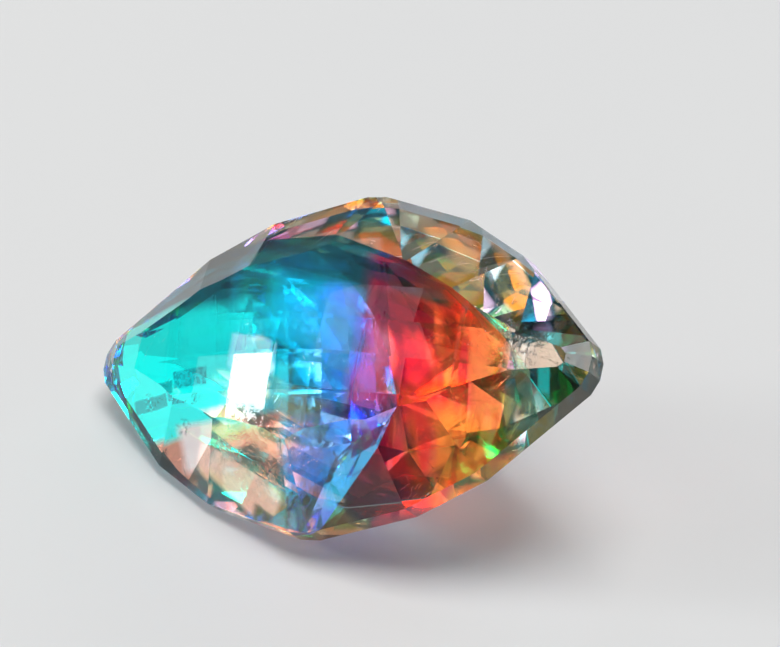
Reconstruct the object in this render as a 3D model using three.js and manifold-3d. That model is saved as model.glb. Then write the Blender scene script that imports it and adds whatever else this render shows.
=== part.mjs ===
// A pointed-oval (marquise) gemstone, cut from one clear block and resting on a flat
// of its underside, with one tip raised and the crown leaning towards the front.
// Millimetres, +Z up. The origin is the middle of the stone's footprint on the surface,
// and +X runs along the stone from its low tip to its raised tip.
import * as THREE from 'three';
import { mergeVertices } from 'three/addons/utils/BufferGeometryUtils.js';
import Module from 'manifold-3d';

// Outline, seen square on to the girdle. Each long side's facets touch an arc of a circle
// whose centre lies beyond the middle, towards the other side.
const length = 20;               // tip to tip
const width = 12.1;              // across the belly
const sideRadius = 11.1;         // of the arc
const sideOffset = 5.3;          // from the arc's centre to the stone's middle
const sideFacetStep = 14.2;      // degrees between neighbouring facets along a side
const sideFacetPairs = 3;        // facets on each half of a side, either way of the belly
const tipFacetTurn = 24;         // degrees off the long axis of the two facets beside a tip
const tipFacetDistance = 9.25;   // from the middle to each of them
const girdleThickness = 0.75;    // narrow band between the crown and the underside

// Crown: a ring of break facets round the girdle, under a chequerboard of flats.
const crownBreakAngle = 37.5;    // degrees from the girdle plane
const crownHeight = 2.85;        // of the dome's middle over the girdle's middle
const domeRadiusAlong = 22;      // the dome's roundness along the stone
const domeRadiusAcross = 12;     // and across it
const flatLength = 1.7;          // one flat of the chequerboard, along the stone
const flatWidth = 1.25;          // and across it

// Underside: a steep ring below the girdle, then long mains that meet in a keel.
const upperPavilionAngle = 50;   // degrees from the girdle plane
const mainPavilionAngle = 42;
const mainPavilionOutset = 0.16; // how far outside the girdle's edge the mains' planes pass

// The main facet that the stone lies on, counted from the belly towards the low tip. It is
// ground deeper than its neighbours, which makes it wide enough to lie on.
const restingFacet = 2;
const restingFacetDepth = 0.3;

// Two flat cracks run through the stone and carry its colours. Each is a thin gap that is
// open round the crown and the girdle, and ends above the facet that the stone lies on, so
// the stone is still one piece. `compass` and `tilt` say which way a crack faces, and
// `distance` is from the stone's middle.
const cracks = [
  { compass: -135.2, tilt: 20.8, distance: 1.6 },
  { compass: -112.4, tilt: 35.5, distance: -0.53 },
];
const crackGap = 0.04;
const crackEnd = 0.8;            // from the resting facet's plane

const wasm = await Module();
wasm.setup();

const radians = THREE.MathUtils.degToRad;

function toManifold(geometry) {
  geometry.deleteAttribute('normal');
  geometry.deleteAttribute('uv');
  const closed = mergeVertices(geometry);
  return new wasm.Manifold(new wasm.Mesh({
    numProp: 3,
    vertProperties: new Float32Array(closed.attributes.position.array),
    triVerts: new Uint32Array(closed.index.array),
  }));
}

function toGeometry(solid) {
  const mesh = solid.getMesh();
  const geometry = new THREE.BufferGeometry();
  geometry.setAttribute('position', new THREE.BufferAttribute(mesh.vertProperties, 3));
  geometry.setIndex(new THREE.BufferAttribute(mesh.triVerts, 1));
  geometry.computeVertexNormals();
  return geometry;
}

// How far a side's arc stands from the stone's middle, square to a facet that is turned by
// `turn` degrees from the short axis.
function sideDistance(turn) {
  return sideRadius - sideOffset * Math.cos(radians(turn));
}

// The facets round the outline, as [compass direction in degrees, distance from the middle].
function outlineFacets() {
  const facets = [];
  for (const belly of [-90, 90]) {
    facets.push([belly, width / 2]);
    for (let step = 1; step <= sideFacetPairs; step += 1) {
      const turn = step * sideFacetStep;
      facets.push([belly - turn, sideDistance(turn)]);
      facets.push([belly + turn, sideDistance(turn)]);
    }
  }
  for (const tip of [0, 180]) {
    facets.push([tip, length / 2]);
    facets.push([tip - tipFacetTurn, tipFacetDistance]);
    facets.push([tip + tipFacetTurn, tipFacetDistance]);
  }
  return facets;
}

// The outward direction of a facet from its compass direction and its tilt: 0 faces
// straight up, 90 faces sideways and 180 faces straight down.
function facing(compass, tilt) {
  const across = Math.sin(radians(tilt));
  return new THREE.Vector3(
    across * Math.cos(radians(compass)),
    across * Math.sin(radians(compass)),
    Math.cos(radians(tilt)),
  );
}

const blankSize = 3 * length;
const up = new THREE.Vector3(0, 0, 1);

// Takes everything off the stone that lies beyond `distance` from its middle, measured
// along `direction`, as a flat lap does.
function grind(stone, direction, distance) {
  const waste = new THREE.BoxGeometry(blankSize, blankSize, blankSize);
  waste.translate(0, 0, blankSize / 2 + distance);
  waste.applyQuaternion(new THREE.Quaternion().setFromUnitVectors(up, direction));
  return stone.subtract(toManifold(waste));
}

// A ring of facets, one above or below each outline facet, all starting from the same
// level of the girdle and tilted alike.
function grindRing(stone, tilt, level, outset = 0) {
  for (const [compass, distance] of outlineFacets()) {
    const rim = facing(compass, 90).multiplyScalar(distance).setZ(level);
    const direction = facing(compass, tilt);
    stone = grind(stone, direction, direction.dot(rim) + outset);
  }
  return stone;
}

// Rows of flats that each touch a low dome at the middle of their oblong.
function grindChequerboard(stone) {
  const alongCount = Math.ceil(length / 2 / flatLength);
  const acrossCount = Math.ceil(width / 2 / flatWidth);
  for (let i = -alongCount; i <= alongCount; i += 1) {
    for (let j = -acrossCount; j <= acrossCount; j += 1) {
      const x = i * flatLength;
      const y = j * flatWidth;
      const drop = x ** 2 / (2 * domeRadiusAlong) + y ** 2 / (2 * domeRadiusAcross);
      const touch = new THREE.Vector3(x, y, crownHeight - drop);
      const direction = new THREE.Vector3(x / domeRadiusAlong, y / domeRadiusAcross, 1).normalize();
      stone = grind(stone, direction, direction.dot(touch));
    }
  }
  return stone;
}

const mainTilt = 180 - mainPavilionAngle;
const restingTurn = restingFacet * sideFacetStep;
const restingDirection = facing(-90 - restingTurn, mainTilt);

// Opens one crack down to `crackEnd` above the resting facet, whose plane is at `reach`.
function openCrack(stone, { compass, tilt, distance }, reach) {
  const gap = new THREE.BoxGeometry(blankSize, blankSize, crackGap);
  gap.translate(0, 0, distance);
  gap.applyQuaternion(new THREE.Quaternion().setFromUnitVectors(up, facing(compass, tilt)));
  return stone.subtract(grind(toManifold(gap), restingDirection, reach - crackEnd));
}

function cutStone() {
  let stone = toManifold(new THREE.BoxGeometry(blankSize / 2, blankSize / 2, blankSize / 2));
  for (const [compass, distance] of outlineFacets()) {
    stone = grind(stone, facing(compass, 90), distance);
  }
  stone = grindRing(stone, crownBreakAngle, girdleThickness / 2);
  stone = grindChequerboard(stone);
  stone = grindRing(stone, 180 - upperPavilionAngle, -girdleThickness / 2);
  stone = grindRing(stone, mainTilt, -girdleThickness / 2, mainPavilionOutset);
  const restingRim = facing(-90 - restingTurn, 90).multiplyScalar(sideDistance(restingTurn));
  restingRim.setZ(-girdleThickness / 2);
  const reach = restingDirection.dot(restingRim) + mainPavilionOutset - restingFacetDepth;
  stone = grind(stone, restingDirection, reach);
  for (const crack of cracks) {
    stone = openCrack(stone, crack, reach);
  }
  return stone;
}

const clearStone = new THREE.MeshStandardMaterial({
  color: 0xdfeceb,
  roughness: 0.03,
  metalness: 0,
  transparent: true,
  opacity: 0.35,
  flatShading: true,
});

const stone = new THREE.Mesh(toGeometry(cutStone()), clearStone);
stone.name = 'stone';

// Lay the stone on its resting facet, with its length along +X.
const down = up.clone().negate();
stone.quaternion.setFromUnitVectors(restingDirection, down);
const longAxis = new THREE.Vector3(1, 0, 0).applyQuaternion(stone.quaternion);
const heading = Math.atan2(longAxis.y, longAxis.x);
stone.quaternion.premultiply(new THREE.Quaternion().setFromAxisAngle(down, heading));

// Stand it on the surface, with its footprint centred on the origin.
stone.updateMatrixWorld();
const footprint = new THREE.Box3().setFromObject(stone, true);
const centre = footprint.getCenter(new THREE.Vector3());
stone.position.set(-centre.x, -centre.y, -footprint.min.z);

const gem = new THREE.Group();
gem.add(stone);

export default gem;
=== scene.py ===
import math

import bmesh
import bpy
from mathutils import Matrix, Vector


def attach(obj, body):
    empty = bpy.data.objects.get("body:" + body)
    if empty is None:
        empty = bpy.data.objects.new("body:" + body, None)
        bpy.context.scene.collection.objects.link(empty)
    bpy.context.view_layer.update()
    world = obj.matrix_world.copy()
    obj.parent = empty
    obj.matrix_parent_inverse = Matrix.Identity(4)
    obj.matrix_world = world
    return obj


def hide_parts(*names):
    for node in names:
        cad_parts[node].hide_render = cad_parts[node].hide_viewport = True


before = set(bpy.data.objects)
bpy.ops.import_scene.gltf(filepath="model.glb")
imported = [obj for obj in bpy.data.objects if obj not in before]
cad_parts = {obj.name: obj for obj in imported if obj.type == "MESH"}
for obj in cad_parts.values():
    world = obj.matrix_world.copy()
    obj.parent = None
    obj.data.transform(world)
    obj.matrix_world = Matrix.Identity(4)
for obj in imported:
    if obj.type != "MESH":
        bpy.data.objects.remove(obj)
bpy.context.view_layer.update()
print("frame loaded")

mm = 0.001
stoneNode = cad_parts["stone"]
middle = Vector((0, 0, 4.446)) * mm   # middle of the girdle


# One output socket, so that shader maths reads as plain Python.
class Sock:
    def __init__(self, tree, socket):
        self.tree = tree
        self.socket = socket

    def math(self, operation, *values, clamp=False):
        settings = {"operation": operation, "use_clamp": clamp}
        return self.tree.node("ShaderNodeMath", settings, dict(enumerate(values)))

    def __add__(self, other):
        return self.math("ADD", self, other)

    def __radd__(self, other):
        return self.math("ADD", other, self)

    def __sub__(self, other):
        return self.math("SUBTRACT", self, other)

    def __rsub__(self, other):
        return self.math("SUBTRACT", other, self)

    def __mul__(self, other):
        return self.math("MULTIPLY", self, other)

    def __rmul__(self, other):
        return self.math("MULTIPLY", other, self)

    def __truediv__(self, other):
        return self.math("DIVIDE", self, other)

    def __rtruediv__(self, other):
        return self.math("DIVIDE", other, self)

    def clamp(self):
        return self.math("ADD", self, 0.0, clamp=True)

    def size(self):
        return self.math("ABSOLUTE", self)

    # Rises from 0 to 1 round a place, or falls where the slope is negative.
    def edge(self, place, slope):
        return ((self - place) * slope + 0.5).clamp()

    # Rises from 0 at a level.
    def above(self, level, slope=1):
        return ((self - level) * slope).clamp()


# The nodes of one material.
class Tree:
    def __init__(self, name):
        self.material = bpy.data.materials.new(name)
        self.material.use_nodes = True
        self.nodes = self.material.node_tree.nodes
        self.links = self.material.node_tree.links
        self.nodes.clear()
        self.position = self.node("ShaderNodeTexCoord", output="Object")

    def node(self, kind, settings=None, values=None, output=0):
        made = self.nodes.new(kind)
        for key, value in (settings or {}).items():
            if key == "stops":
                setStops(made.color_ramp, value)
            else:
                setattr(made, key, value)
        for key, value in (values or {}).items():
            if isinstance(value, Sock):
                self.links.new(value.socket, made.inputs[key])
            else:
                made.inputs[key].default_value = value
        return Sock(self, made.outputs[output]) if made.outputs else None

    def along(self, direction):
        values = {0: self.position, 1: tuple(direction)}
        return self.node("ShaderNodeVectorMath", {"operation": "DOT_PRODUCT"}, values, "Value")

    def distanceTo(self, place):
        values = {0: self.position, 1: tuple(place)}
        return self.node("ShaderNodeVectorMath", {"operation": "DISTANCE"}, values, "Value")

    def noise(self, position, scale, detail, roughness=0.5):
        values = {"Vector": position, "Scale": scale, "Detail": detail, "Roughness": roughness}
        return self.node("ShaderNodeTexNoise", values=values, output="Fac")

    def mixColour(self, factor, first, second):
        return self.node("ShaderNodeMix", {"data_type": "RGBA"}, {0: factor, 6: first, 7: second}, 2)

    def principled(self, values):
        return self.node("ShaderNodeBsdfPrincipled", values=values)

    def finish(self, shader):
        self.node("ShaderNodeOutputMaterial", values={"Surface": shader})
        return self.material


# A new ramp has two stops, which become the first and the last.
def setStops(ramp, stops):
    for element, (place, colour) in zip(ramp.elements, (stops[0], stops[-1])):
        element.position = place
        element.color = (*colour, 1)
    for place, colour in stops[1:-1]:
        ramp.elements.new(place).color = (*colour, 1)


weld = 0.002 * mm
flatWithin = math.radians(0.4)   # facets of the closed stone are flat to this


# The stone's outside without its two cracks, which the planes below fill.
def closedStone():
    bm = bmesh.new()
    bm.from_mesh(stoneNode.data)
    bmesh.ops.remove_doubles(bm, verts=bm.verts, dist=weld)
    bmesh.ops.delete(bm, geom=bm.edges[:], context="EDGES_FACES")
    hull = bmesh.ops.convex_hull(bm, input=bm.verts)
    inside = [part for part in hull["geom_interior"] if isinstance(part, bmesh.types.BMVert)]
    bmesh.ops.delete(bm, geom=inside, context="VERTS")
    loose = [edge for edge in bm.edges if not edge.link_faces]
    bmesh.ops.delete(bm, geom=loose, context="EDGES")
    bmesh.ops.dissolve_degenerate(bm, dist=weld, edges=bm.edges)
    bmesh.ops.dissolve_limit(bm, angle_limit=flatWithin, verts=bm.verts, edges=bm.edges)
    bmesh.ops.recalc_face_normals(bm, faces=bm.faces)
    return bm


def addPiece(name, bm, material):
    mesh = bpy.data.meshes.new(name)
    bm.to_mesh(mesh)
    bm.free()
    mesh.materials.append(material)
    piece = bpy.data.objects.new(name, mesh)
    bpy.context.scene.collection.objects.link(piece)
    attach(piece, "root")
    return piece


crystal = {
    "tint": (0.97, 0.99, 0.985, 1),
    "ior": 1.53,
    "frosted": [   # place and reach, mm
        ((-1.2, -4.2, 2.9), 1.9),
        ((6.9, -0.8, 8.1), 1.2),
        ((-2.7, -1.4, 6.0), 0.8),
        ((-4.6, -2.5, 4.0), 0.55),
        ((-6.4, -2.3, 2.1), 0.6),
        ((-1.2, -0.7, 7.2), 0.9),
    ],
    "frostFade": 1.5,               # per mm, towards the rim of each place
    "frostScale": 4200,
    "frostSpecks": (0.52, 9),       # the noise level that they start at, and their sharpness
    "hairlines": (900, 160, 500),   # noise scales along X, Y and Z, so they run mostly along Y
    "hairlineSharpness": 300,
    "hairlineDepth": 0.6,           # beside the frost's depth
    "breakScale": 700,              # of the gaps that break the hairlines up
    "breaks": (0.52, 12),           # their level and sharpness
    "scuffScale": 260,
    "scuffLevel": 0.55,
    "scuffRoughness": 0.05,
    "markRoughness": 0.22,
    "markDepth": 0.004 * mm,
}


# Polished, with a few frosted patches and fine scratches on the facets.
def clearGlass():
    tree = Tree("clear_crystal")
    position = tree.position
    frost = 0.0
    for place, reach in crystal["frosted"]:
        away = tree.distanceTo(Vector(place) * mm) / mm
        frost = ((reach - away) * crystal["frostFade"]).clamp() + frost
    specks = tree.noise(position, crystal["frostScale"], 3, 0.6).above(*crystal["frostSpecks"]) * frost
    stretched = tree.node("ShaderNodeVectorMath", {"operation": "MULTIPLY"},
                          {0: position, 1: crystal["hairlines"]})
    bands = (tree.noise(stretched, 1.0, 3) - 0.5).size()
    hairlines = (1 - bands * crystal["hairlineSharpness"]).clamp()
    broken = tree.noise(position, crystal["breakScale"], 2).above(*crystal["breaks"])
    marks = specks + hairlines * broken * crystal["hairlineDepth"]
    scuffs = tree.noise(position, crystal["scuffScale"], 3).above(crystal["scuffLevel"])
    dents = tree.node("ShaderNodeBump",
                      values={"Strength": 1.0, "Distance": crystal["markDepth"], "Height": marks})
    glass = tree.principled({
        "Base Color": crystal["tint"],
        "Transmission Weight": 1.0,
        "IOR": crystal["ior"],
        "Roughness": scuffs * crystal["scuffRoughness"] + marks * crystal["markRoughness"],
        "Normal": dents,
    })
    return tree.finish(glass)


body = closedStone()
print("facets", len(body.faces))
stone = addPiece("cut_stone", body, clearGlass())
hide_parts("stone")
print("clear body built")


# The interference planes. Each mirrors some colours and lets others through, and both change
# over it. Places on a plane are in mm: `across` it from the stone's middle, and up it.

across = Vector((0.865, 0.502, 0.0))


# A colour and its limits. The four sides are a place and how softly the colour ends there,
# with a third number where streaks make the limit waver. Flakes are picked by their shade,
# streaks by a threshold and a scale, and mottling by its scale.
def patch(colour, **limits):
    return (*colour, 1), limits


# painted shade: one of two darker teal squares in the cyan
paintedShadeSquare = {"rightOf": (-5.1, 0.06), "leftOf": (-4.0, 0.06), "above": (-0.45, 0.06), "below": (0.2, 0.06)}

bluePlane = {
    "normal": Vector((-0.4229, -0.7768, 0.4667)).normalized(),
    "distance": 1.6 * mm,          # from the stone's middle
    "grain": 0.35,                 # how far the colours wander, mm
    "edge": (0.5, 0.35, 1.0, 1),   # what it mirrors at a grazing angle
    "mirrored": [
        (-8, (0.0, 0.88, 0.76)),
        (-3.4, (0.0, 0.98, 0.96)),
        (-1.7, (0.0, 0.65, 0.9)),
        (-0.5, (0.16, 0.38, 0.92)),
        (0.6, (0.3, 0.25, 0.9)),
        (1.3, (0.75, 0.25, 0.5)),
    ],
    "mirrorPatches": [
        # painted shade: darker teal along the top
        patch((0.0, 0.16, 0.2), above=(2.2, 0.5)),
        # copper and rose in the low left corner
        patch((0.62, 0.26, 0.18), below=(-1.75, 0.3), leftOf=(-1.7, 0.3)),
        patch((0.85, 0.74, 0.74), leftOf=(-3.3, 0.4), rightOf=(-5.0, 0.3), above=(-3.0, 0.3),
              below=(-1.3, 0.3)),
        # blues along the lower edge
        patch((0.25, 0.4, 0.95), below=(-2.3, 0.4), rightOf=(-1.5, 0.3)),
        patch((0.06, 0.58, 1.0), rightOf=(-0.5, 0.3), below=(-3.2, 0.4)),
        patch((0.14, 0.22, 0.95), below=(-5.0, 0.3)),
        # two squares of painted shade, darker teal with specks in them
        patch((0.0, 0.6, 0.63), **paintedShadeSquare),
        patch((0.0, 0.4, 0.43), **paintedShadeSquare, mottled=7000),
        patch((0.0, 0.46, 0.46), rightOf=(-6.5, 0.06), leftOf=(-5.15, 0.06), above=(-0.6, 0.06),
              below=(-0.12, 0.06)),
        patch((0.0, 0.3, 0.3), rightOf=(-6.0, 0.06), leftOf=(-5.3, 0.06), above=(-0.5, 0.06),
              below=(-0.2, 0.06), mottled=7000),
    ],
    "through": (0.8, 0.95, 0.65, 1),
    "throughPatches": [
        patch((0.95, 0.72, 0.62), below=(-1.9, 0.3)),
        # a clear window in the left end, with dark strips of painted shade below it
        patch((0.95, 0.88, 1.0), leftOf=(-3.2, 0.4), above=(1.5, 0.4)),
        patch((0.88, 0.85, 0.85), leftOf=(-2.8, 0.3), rightOf=(-5.2, 0.3), above=(-0.6, 0.2),
              below=(1.3, 0.4)),
        # painted shade: three dark strips
        patch((0.02, 0.06, 0.07), leftOf=(-3.5, 0.3), above=(-1.3, 0.3), below=(-0.6, 0.2)),
        patch((0.02, 0.06, 0.07), leftOf=(-5.0, 0.3), above=(-1.2, 0.3)),
        patch((0.02, 0.06, 0.07), leftOf=(-4.85, 0.2), below=(-2.35, 0.2)),
        # pale blue, rose and blue towards the right
        patch((0.8, 0.95, 0.97), rightOf=(-2.0, 0.5), above=(-1.9, 0.4)),
        patch((0.85, 0.4, 0.6), rightOf=(0.6, 0.6), above=(-2.0, 0.4)),
        patch((0.3, 0.4, 0.8), rightOf=(-0.8, 0.8), below=(-2.0, 0.4)),
    ],
}

haze = {"leftOf": (0.8, 0.4), "rightOf": (-2.65, 0.2), "below": (-2.1, 0.3)}
blueBand = {"leftOf": (1.0, 0.3), "below": (2.2, 0.5)}
redSide = {"rightOf": (1.2, 0.4), "below": (2.7, 0.5)}
# painted shade: a dark wedge low on the red plane
paintedShadeWedge = {"rightOf": (1.0, 0.3), "leftOf": (2.6, 0.6), "below": (-2.9, 0.5)}

redPlane = {
    "normal": Vector((-0.307, -0.927, 0.218)).normalized(),
    "distance": -0.53 * mm,
    "grain": 0.5,
    "edge": (1.0, 0.9, 0.3, 1),
    "mirrored": [
        (1.0, (0.4, 0.0, 0.08)),
        (2.6, (0.5, 0.015, 0.03)),
        (4.2, (0.85, 0.25, 0.02)),
        (5.2, (0.8, 0.5, 0.05)),
        (6.2, (0.5, 0.6, 0.2)),
    ],
    "mirrorPatches": [
        patch((0.01, 0.12, 0.16), leftOf=(1.0, 0.6)),
        # peach in the low left corner, broken by brown and olive, and a painted pink highlight
        patch((0.92, 0.68, 0.58), leftOf=(0.6, 0.4), below=(-2.6, 0.3)),
        patch((0.92, 0.68, 0.58), leftOf=(-1.5, 0.2), below=(-1.9, 0.3)),
        patch((0.3, 0.2, 0.1), leftOf=(0.6, 0.4), rightOf=(-0.75, 0.2), below=(-2.5, 0.3)),
        patch((0.08, 0.07, 0.05), leftOf=(-3.05, 0.2)),
        patch((0.14, 0.15, 0.06), leftOf=(0.6, 0.4), rightOf=(-1.5, 0.3),
              above=(-2.6, 0.2), below=(-1.6, 0.2)),
        # painted highlight: a pink-white spot where the glint shows
        patch((1.0, 0.75, 0.9), rightOf=(-2.2, 0.2), leftOf=(-1.5, 0.2),
              above=(-1.5, 0.2), below=(-0.6, 0.2)),
        # painted shade: the dark wedge, on the mirrored side
        patch((0.15, 0.03, 0.05), **paintedShadeWedge),
    ],
    "through": (0.01, 0.05, 0.07, 1),
    "throughPatches": [
        # brown haze at the low left, with mint in it
        patch((0.14, 0.09, 0.03), **haze),
        patch((0.25, 0.36, 0.22), leftOf=(-0.5, 0.3), rightOf=(-1.25, 0.2),
              above=(-2.6, 0.2), below=(-1.6, 0.2)),
        patch((0.12, 0.24, 0.13), rightOf=(-1.3, 0.2), leftOf=(-0.7, 0.2),
              above=(-1.6, 0.2), below=(-0.9, 0.2)),
        # blues between the haze and the red side
        patch((0.0, 0.46, 0.68), rightOf=(-1.9, 0.5), above=(-0.5, 0.3), **blueBand),
        patch((0.0, 0.42, 0.68), rightOf=(-0.65, 0.2), leftOf=(1.0, 0.3),
              above=(-1.6, 0.3), below=(-0.2, 0.4)),
        patch((0.08, 0.32, 0.76), rightOf=(-0.1, 0.5), above=(-1.7, 0.3), **blueBand),
        # flakes in the haze: dark ones as painted shade, with orange, red, olive and pale green
        # painted shade: the dark flakes
        patch((0.05, 0.045, 0.015), **haze, flakes=(0.0, 0.48)),
        patch((0.45, 0.16, 0.02), **haze, flakes=(0.5, 0.6)),
        patch((0.75, 0.06, 0.02), **haze, flakes=(0.6, 0.65)),
        patch((0.16, 0.17, 0.03), **haze, flakes=(0.68, 0.84)),
        patch((0.4, 0.5, 0.32), **haze, flakes=(0.84, 1.0)),
        # amber below the haze, a grey strip at its left, and a pink strip there that is a painted highlight
        patch((0.45, 0.22, 0.1), leftOf=(0.8, 0.4), rightOf=(-2.65, 0.2), below=(-3.5, 0.3)),
        patch((0.42, 0.5, 0.52), rightOf=(-2.65, 0.2), leftOf=(-2.0, 0.1),
              above=(-3.4, 0.3), below=(-2.3, 0.3)),
        # painted highlight: a pink-white strip that makes the glint
        patch((1.0, 0.62, 0.95), rightOf=(-2.7, 0.2), leftOf=(-1.5, 0.2),
              above=(-1.7, 0.2), below=(-0.6, 0.15)),
        # the red side, streaked
        patch((0.7, 0.02, 0.05), **redSide),
        patch((1.0, 0.06, 0.05), rightOf=(1.9, 0.4), below=(-0.5, 0.5)),
        patch((0.3, 0.0, 0.03), **redSide, streaked=(0.07, 1.6)),
        patch((0.95, 0.1, 0.1), **redSide, streaked=(0.08, 2.7)),
        patch((0.95, 0.3, 0.45), rightOf=(1.2, 0.3), leftOf=(1.9, 0.4, 1.0),
              above=(-1.6, 0.5), below=(1.2, 0.5)),
        patch((0.12, 0.0, 0.015), above=(1.1, 0.8, 3.0), **redSide),
        # orange, a wedge of painted shade at the bottom, then clear at the right end
        patch((0.9, 0.24, 0.09), rightOf=(4.0, 1.0, 4.0), below=(2.7, 0.5)),
        patch((0.95, 0.3, 0.05), rightOf=(2.9, 1.0, 3.0), below=(-0.6, 0.8)),
        patch((0.75, 0.12, 0.03), rightOf=(2.9, 1.0, 3.0), below=(0, 0.8), streaked=(0.08, 2.2)),
        patch((0.3, 0.08, 0.1), **paintedShadeWedge),
        patch((0.85, 0.88, 0.8), rightOf=(5.5, 0.4)),
        patch((0.12, 0.12, 0.1), rightOf=(5.7, 0.2), below=(1.3, 0.2), above=(-0.1, 0.2)),
    ],
}


# What the two planes share. A draw below 1 stretches its pattern up the plane.
film = {
    "roughness": 0.03,
    "wanderScale": 300,       # of the cloudiness that shifts every limit
    "streakDraw": 0.16,
    "waverScale": 1.6,
    "streakSharpness": 10,
    "flakeScale": 1.5,
    "flakeDraw": 0.6,
    "flakeSlant": 0.3,
    "flakeSharpness": 60,
    "mottling": (0.53, 12),   # its level and sharpness
}


# Finds places on one plane, and turns a patch's limits into a mask.
class Film:
    def __init__(self, tree, plane):
        upward = plane["normal"].cross(across).normalized()
        if upward.z < 0:
            upward.negate()
        wander = (tree.noise(tree.position, film["wanderScale"], 2) - 0.5) * (plane["grain"] * 2)
        self.tree = tree
        self.along = tree.along(across) / mm + wander
        self.up = (tree.along(upward) - middle.dot(upward)) / mm + wander
        self.stretched = self.flat(self.along, self.up * film["streakDraw"])
        self.waver = self.streaks(film["waverScale"])
        slanted = self.flat(self.along + self.up * film["flakeSlant"], self.up * film["flakeDraw"])
        flakes = {"Vector": slanted, "Scale": film["flakeScale"]}
        colours = tree.node("ShaderNodeTexVoronoi", values=flakes, output="Color")
        self.shade = tree.node("ShaderNodeRGBToBW", values={"Color": colours})

    def flat(self, along, up):
        return self.tree.node("ShaderNodeCombineXYZ", values={"X": along, "Y": up})

    def streaks(self, scale):
        return self.tree.noise(self.stretched, scale, 1.5) - 0.5

    def side(self, name, place, softness, waver=0):
        value = self.along if name in ("leftOf", "rightOf") else self.up
        if waver:
            value = value + self.waver * waver
        return value.edge(place, (-1 if name in ("leftOf", "below") else 1) / softness)

    def limit(self, name, value):
        if name == "mottled":
            return self.tree.noise(self.tree.position, value, 2).edge(*film["mottling"])
        if name == "flakes":
            low, high = value
            sharpness = film["flakeSharpness"]
            return self.shade.above(low, sharpness) * ((high - self.shade) * sharpness).clamp()
        if name == "streaked":
            threshold, scale = value
            return self.streaks(scale).edge(threshold, film["streakSharpness"])
        return self.side(name, *value)

    def mask(self, limits):
        first, *others = [self.limit(name, value) for name, value in limits.items()]
        return math.prod(others, start=first)


def filmMaterial(name, plane):
    tree = Tree(name)
    places = Film(tree, plane)
    first = plane["mirrored"][0][0]
    length = plane["mirrored"][-1][0] - first
    stops = [((place - first) / length, colour) for place, colour in plane["mirrored"]]
    colour = tree.node("ShaderNodeValToRGB", {"stops": stops}, {0: (places.along - first) / length})
    for patchColour, limits in plane["mirrorPatches"]:
        colour = tree.mixColour(places.mask(limits), colour, patchColour)
    mirror = tree.principled({
        "Base Color": colour,
        "Metallic": 1.0,
        "Roughness": film["roughness"],
        "Specular Tint": plane["edge"],
    })
    through = tree.node("ShaderNodeBsdfTransparent", values={"Color": plane["through"]})
    for patchColour, limits in plane["throughPatches"]:
        glow = tree.node("ShaderNodeBsdfTransparent", values={"Color": patchColour})
        through = tree.node("ShaderNodeMixShader", values={0: places.mask(limits), 1: through, 2: glow})
    return tree.finish(tree.node("ShaderNodeAddShader", values={0: mirror, 1: through}))


planeInset = 0.995   # keeps a plane's rim just inside the facets


def planeSheet(name, plane):
    bm = closedStone()
    parts = bm.verts[:] + bm.edges[:] + bm.faces[:]
    cut = bmesh.ops.bisect_plane(bm, geom=parts, dist=0.001 * mm,
                                 plane_co=middle + plane["normal"] * plane["distance"],
                                 plane_no=plane["normal"], clear_outer=True, clear_inner=True)
    edges = [part for part in cut["geom_cut"] if isinstance(part, bmesh.types.BMEdge)]
    bmesh.ops.edgeloop_fill(bm, edges=edges)
    centre = sum((vert.co for vert in bm.verts), Vector()) / len(bm.verts)
    bmesh.ops.scale(bm, verts=bm.verts, vec=(planeInset,) * 3, space=Matrix.Translation(-centre))
    return addPiece(name, bm, filmMaterial(name, plane))


for name, plane in (("blue_plane", bluePlane), ("red_plane", redPlane)):
    sheet = planeSheet(name, plane)
    print(name, "built")


floorLook = {
    "halfWidth": 1.2,
    "gap": 0.03 * mm,   # a film of air under the resting facet
    "tones": ((0.76, 0.76, 0.76, 1), (0.8, 0.8, 0.79, 1)),
    "toneScale": 30,
    "roughness": 0.85,
}


def floorMaterial():
    tree = Tree("floor")
    tone = tree.mixColour(tree.noise(tree.position, floorLook["toneScale"], 3), *floorLook["tones"])
    return tree.finish(tree.principled({"Base Color": tone, "Roughness": floorLook["roughness"]}))


def addFloor():
    bm = bmesh.new()
    bmesh.ops.create_grid(bm, x_segments=1, y_segments=1, size=floorLook["halfWidth"])
    bmesh.ops.translate(bm, verts=bm.verts, vec=(0, 0, -floorLook["gap"]))
    mesh = bpy.data.meshes.new("floor")
    bm.to_mesh(mesh)
    bm.free()
    mesh.materials.append(floorMaterial())
    floor = bpy.data.objects.new("floor", mesh)
    bpy.context.scene.collection.objects.link(floor)


# Degrees round from the front and up from the floor.
def direction(azimuth, elevation):
    azimuth = math.radians(azimuth)
    elevation = math.radians(elevation)
    return Vector((math.sin(azimuth) * math.cos(elevation),
                   -math.cos(azimuth) * math.cos(elevation), math.sin(elevation)))


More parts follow.
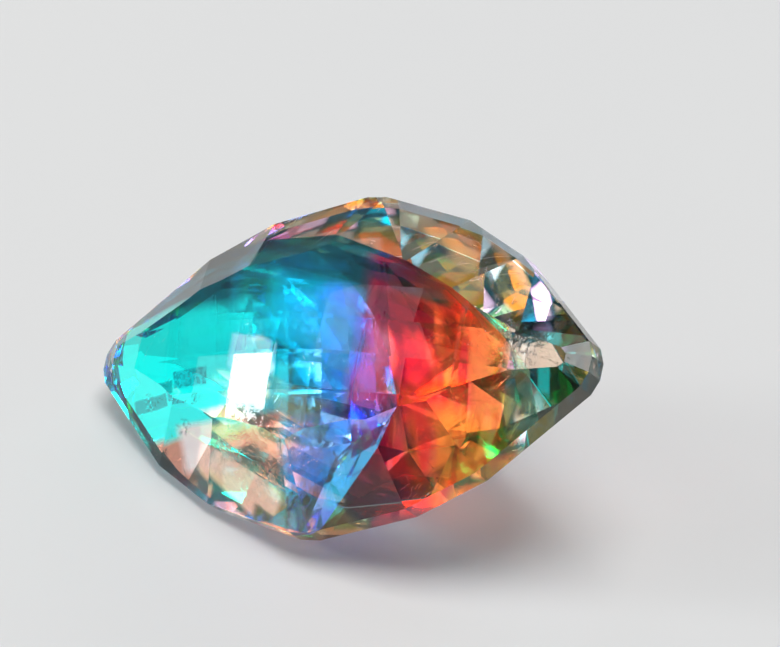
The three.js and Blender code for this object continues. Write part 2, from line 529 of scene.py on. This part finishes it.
# Softboxes: azimuth and elevation, then distance, width and height in metres, and watts.
lights = {
    "window": (-61.5, 13.5, 0.5, 0.275, 0.24, 0.2),
    "overhead": (-62, 47.5, 0.5, 0.26, 0.15, 0.1),
    "behind": (-171.5, 22, 0.5, 0.39, 0.25, 0.34),
    "back left": (-127, 48, 0.5, 0.12, 0.12, 0.05),
    "side": (-86, 21.7, 0.5, 0.075, 0.037, 0.0065),
    "front": (6, 47, 0.5, 0.15, 0.1, 0.028),
    "glint": (-78.5, 40.5, 0.5, 0.044, 0.044, 0.015),
    "fill": (100, 84, 0.8, 0.5, 0.5, 4.6),
    "key": (-67, 19.5, 0.4, 0.075, 0.06, 0.25),
}
worldColour = (0.9, 0.95, 1.0, 1)
worldStrength = 0.15


def addLight(name, azimuth, elevation, distance, width, height, power):
    outward = direction(azimuth, elevation)
    light = bpy.data.lights.new(name, "AREA")
    light.shape = "RECTANGLE"
    light.size = width
    light.size_y = height
    light.energy = power
    lamp = bpy.data.objects.new(name, light)
    lamp.location = middle + outward * distance
    lamp.rotation_euler = outward.to_track_quat("Z", "Y").to_euler()
    bpy.context.scene.collection.objects.link(lamp)


def lightWorld():
    world = bpy.data.worlds.new("studio")
    bpy.context.scene.world = world
    world.use_nodes = True
    background = world.node_tree.nodes["Background"]
    background.inputs["Color"].default_value = worldColour
    background.inputs["Strength"].default_value = worldStrength


view = {
    "azimuth": 30.2,
    "elevation": 34.4,
    "roll": -0.6,
    "distance": 140.84 * mm,   # from the girdle's middle
    "shiftRight": 1.546 * mm,
    "shiftUp": 1.452 * mm,
    "sensor": 36,              # mm, as the lens
    "lens": 193.385,
    "clipStart": 10 * mm,
}


def addCamera():
    back = direction(view["azimuth"], view["elevation"])
    level = direction(view["azimuth"] + 90, 0)
    upright = back.cross(level)
    roll = math.radians(view["roll"])
    right = level * math.cos(roll) + upright * math.sin(roll)
    up = upright * math.cos(roll) - level * math.sin(roll)
    camera = bpy.data.cameras.new("camera")
    camera.sensor_width = view["sensor"]
    camera.lens = view["lens"]
    camera.clip_start = view["clipStart"]
    viewer = bpy.data.objects.new("camera", camera)
    viewer.location = middle + right * view["shiftRight"] + up * view["shiftUp"] + back * view["distance"]
    viewer.rotation_euler = Matrix((right, up, back)).transposed().to_euler()
    bpy.context.scene.collection.objects.link(viewer)
    bpy.context.scene.camera = viewer


addFloor()
for name, setting in lights.items():
    addLight(name, *setting)
lightWorld()
addCamera()

scene = bpy.context.scene
scene.view_settings.view_transform = "Standard"
scene.cycles.max_bounces = 32
scene.cycles.transmission_bounces = 32
scene.cycles.glossy_bounces = 16
scene.cycles.transparent_max_bounces = 16
print("stage set")
